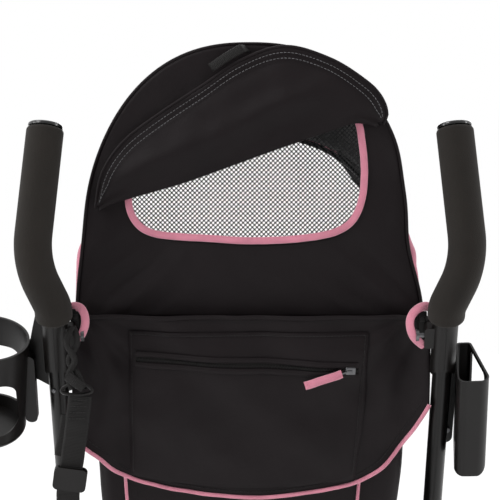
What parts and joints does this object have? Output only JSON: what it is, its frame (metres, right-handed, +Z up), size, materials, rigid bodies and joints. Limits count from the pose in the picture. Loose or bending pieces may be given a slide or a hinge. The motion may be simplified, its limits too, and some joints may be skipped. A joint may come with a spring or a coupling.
{
  "type": "pet stroller",
  "caption": "Umbrella-fold pet stroller: black cloth cabin and hood with mesh window, pink binding, foam grips, cup holder and bag holder.",
  "frame": {"origin": "on the floor, under the middle of the whole stroller's bounding box", "axes": "+Y is the way it rolls forward, +Z is up, +X is to the pusher's right"},
  "size_m": [0.5468, 0.6706, 1.098],
  "materials": {
    "frame_paint": "semi-gloss black paint on steel tube",
    "brace_steel": "satin black paint on flat steel",
    "grip_foam": "matte warm-black closed-cell foam",
    "gloss_cap": "gloss black end cap",
    "black_plastic": "satin black moulded nylon",
    "lever_plastic": "dark grey moulded plastic",
    "wheel_plastic": "charcoal moulded plastic",
    "bow_plastic": "black sprung rod",
    "tyre_foam": "black foam tyre with two grooves",
    "zinc_steel": "bright zinc-plated steel",
    "gunmetal": "gunmetal zip slider",
    "body_cloth": "black woven polyester",
    "pad_cloth": "quilted charcoal cloth",
    "window_net": "black knitted mesh",
    "pink_ribbon": "dusty pink binding ribbon",
    "webbing": "black woven webbing"
  },
  "bodies": {
    "root": {"cabin_tub": "body_cloth", "floor_pad": "pad_cloth", "pocket_panel": "body_cloth", "corner_loops": "pink_ribbon"},
    "hood": {"hood_top": "body_cloth", "front_surround": "body_cloth", "rear_panel": "body_cloth", "window_mesh": "window_net", "window_flap": "body_cloth", "hood_bows": "bow_plastic"},
    "zip": {"zip_slider": "gunmetal"},
    "side_right": {"side_tube_right": "frame_paint", "foam_grip_right": "grip_foam", "grip_cap_right": "gloss_cap", "handle_collar_right": "black_plastic", "tube_clamps_right": "black_plastic", "frame_rivets_right": "gunmetal", "front_socket_right": "black_plastic", "bag_holder": "black_plastic", "bag_bracket": "black_plastic"},
    "leg_right": {"rear_leg_right": "frame_paint", "leg_fittings_right": "black_plastic", "rear_axle_right": "zinc_steel"},
    "sleeve_right": {"leg_sleeve_right": "black_plastic"},
    "link_right": {"side_link_right": "brace_steel"},
    "caster_right": {"caster_fork_right": "black_plastic", "front_axle_right": "zinc_steel"},
    "swivel_lock_right": {"swivel_lock_right": "lever_plastic"},
    "front_wheel_right": {"front_tyre_right": "tyre_foam", "front_hub_right": "wheel_plastic"},
    "rear_wheel_right": {"rear_tyre_right": "tyre_foam", "rear_hub_right": "wheel_plastic"},
    "brake_right": {"brake_pedal_right": "lever_plastic"},
    "side_left": {"side_tube_left": "frame_paint", "foam_grip_left": "grip_foam", "grip_cap_left": "gloss_cap", "handle_collar_left": "black_plastic", "tube_clamps_left": "black_plastic", "frame_rivets_left": "gunmetal", "front_socket_left": "black_plastic", "cup_holder": "black_plastic", "cup_bracket": "black_plastic", "carry_strap": "webbing", "strap_fittings": "black_plastic"},
    "leg_left": {"rear_leg_left": "frame_paint", "leg_fittings_left": "black_plastic", "rear_axle_left": "zinc_steel"},
    "sleeve_left": {"leg_sleeve_left": "black_plastic"},
    "link_left": {"side_link_left": "brace_steel"},
    "caster_left": {"caster_fork_left": "black_plastic", "front_axle_left": "zinc_steel"},
    "swivel_lock_left": {"swivel_lock_left": "lever_plastic"},
    "front_wheel_left": {"front_tyre_left": "tyre_foam", "front_hub_left": "wheel_plastic"},
    "rear_wheel_left": {"rear_tyre_left": "tyre_foam", "rear_hub_left": "wheel_plastic"},
    "brake_left": {"brake_pedal_left": "lever_plastic"},
    "brace_hub": {"cross_pin": "zinc_steel"},
    "brace_bar_a": {"cross_bar_a": "brace_steel"},
    "brace_bar_b": {"cross_bar_b": "brace_steel"}
  },
  "joints": [
    {"name": "frame_fold", "type": "slide", "parent": "root", "child": "side_right", "axis": [-1, 0, 0], "range_m": [0, 0.1], "deforming": ["cabin_tub", "floor_pad", "pocket_panel", "corner_loops", "hood_top", "front_surround", "rear_panel", "window_mesh", "window_flap", "hood_bows", "zip_slider"]},
    {"name": "fold_left", "type": "slide", "parent": "root", "child": "side_left", "axis": [1, 0, 0], "range_m": [0, 0.10005]},
    {"name": "leg_swing_right", "type": "hinge", "parent": "side_right", "child": "leg_right", "pos_m": [0.22244, 0.04681, 0.41637], "axis": [1, 0, 0], "range_deg": [0, 52.03]},
    {"name": "sleeve_slide_right", "type": "slide", "parent": "leg_right", "child": "sleeve_right", "axis": [0, -0.6691, -0.7431], "range_m": [0, 0.15569]},
    {"name": "link_swing_right", "type": "hinge", "parent": "side_right", "child": "link_right", "pos_m": [0.22244, 0.13887, 0.28242], "axis": [1, 0, 0], "range_deg": [0, 74.93]},
    {"name": "leg_swing_left", "type": "hinge", "parent": "side_left", "child": "leg_left", "pos_m": [-0.15356, 0.04681, 0.41637], "axis": [1, 0, 0], "range_deg": [0, 52.03]},
    {"name": "sleeve_slide_left", "type": "slide", "parent": "leg_left", "child": "sleeve_left", "axis": [0, -0.6691, -0.7431], "range_m": [0, 0.15569]},
    {"name": "link_swing_left", "type": "hinge", "parent": "side_left", "child": "link_left", "pos_m": [-0.15356, 0.13887, 0.28242], "axis": [1, 0, 0], "range_deg": [0, 74.93]},
    {"name": "hub_slide", "type": "slide", "parent": "leg_right", "child": "brace_hub", "axis": [0.7892, -0.4109, -0.4564], "range_m": [0, 0.12677]},
    {"name": "bar_a_turn", "type": "hinge", "parent": "brace_hub", "child": "brace_bar_a", "pos_m": [0.03444, -0.04451, 0.31496], "axis": [0, -0.7431, 0.6691], "range_deg": [0, 38.97]},
    {"name": "bar_b_turn", "type": "hinge", "parent": "brace_hub", "child": "brace_bar_b", "pos_m": [0.03444, -0.04451, 0.31496], "axis": [0, -0.7431, 0.6691], "range_deg": [-38.97, 0]},
    {"name": "caster_swivel_right", "type": "hinge", "parent": "side_right", "child": "caster_right", "pos_m": [0.22244, 0.28927, 0], "axis": [0, 0, 1], "continuous": true},
    {"name": "front_wheel_spin_right", "type": "hinge", "parent": "caster_right", "child": "front_wheel_right", "pos_m": [0.22244, 0.25727, 0.072], "axis": [1, 0, 0], "continuous": true},
    {"name": "rear_wheel_spin_right", "type": "hinge", "parent": "leg_right", "child": "rear_wheel_right", "pos_m": [0.22244, -0.26327, 0.072], "axis": [1, 0, 0], "continuous": true},
    {"name": "brake_press_right", "type": "hinge", "parent": "leg_right", "child": "brake_right", "pos_m": [0.22244, -0.25954, 0.10902], "axis": [1, 0, 0], "range_deg": [0, 18]},
    {"name": "swivel_lock_press_right", "type": "hinge", "parent": "side_right", "child": "swivel_lock_right", "pos_m": [0.22244, 0.31027, 0.196], "axis": [1, 0, 0], "range_deg": [-22, 0]},
    {"name": "caster_swivel_left", "type": "hinge", "parent": "side_left", "child": "caster_left", "pos_m": [-0.15356, 0.28927, 0], "axis": [0, 0, 1], "continuous": true},
    {"name": "front_wheel_spin_left", "type": "hinge", "parent": "caster_left", "child": "front_wheel_left", "pos_m": [-0.15356, 0.25727, 0.072], "axis": [1, 0, 0], "continuous": true},
    {"name": "rear_wheel_spin_left", "type": "hinge", "parent": "leg_left", "child": "rear_wheel_left", "pos_m": [-0.15356, -0.26327, 0.072], "axis": [1, 0, 0], "continuous": true},
    {"name": "brake_press_left", "type": "hinge", "parent": "leg_left", "child": "brake_left", "pos_m": [-0.15356, -0.25954, 0.10902], "axis": [1, 0, 0], "range_deg": [0, 18]},
    {"name": "swivel_lock_press_left", "type": "hinge", "parent": "side_left", "child": "swivel_lock_left", "pos_m": [-0.15356, 0.31027, 0.196], "axis": [1, 0, 0], "range_deg": [-22, 0]},
    {"name": "hood_tilt", "type": "hinge", "parent": "root", "child": "hood", "pos_m": [0.03444, -0.15973, 0.815], "axis": [1, 0, 0], "range_deg": [0, 60], "deforming": ["hood_top", "rear_panel", "front_surround", "window_flap", "window_mesh", "pocket_panel", "cabin_tub"]},
    {"name": "zip_travel", "type": "slide", "parent": "root", "child": "zip", "axis": [-0.9993, -0.0093, 0.0374], "range_m": [0, 0.19]}
  ],
  "couplings": [
    {"joint": "fold_left", "follows": "frame_fold", "ratio": 1},
    {"joint": "leg_swing_right", "follows": "frame_fold", "rad_per_m": 9.0757},
    {"joint": "sleeve_slide_right", "follows": "frame_fold", "ratio": 1.5562},
    {"joint": "link_swing_right", "follows": "frame_fold", "rad_per_m": 13.072},
    {"joint": "leg_swing_left", "follows": "frame_fold", "rad_per_m": 9.0757},
    {"joint": "sleeve_slide_left", "follows": "frame_fold", "ratio": 1.5562},
    {"joint": "link_swing_left", "follows": "frame_fold", "rad_per_m": 13.072},
    {"joint": "hub_slide", "follows": "frame_fold", "ratio": 1.267},
    {"joint": "bar_a_turn", "follows": "frame_fold", "rad_per_m": 6.7989},
    {"joint": "bar_b_turn", "follows": "frame_fold", "rad_per_m": -6.7989}
  ]
}
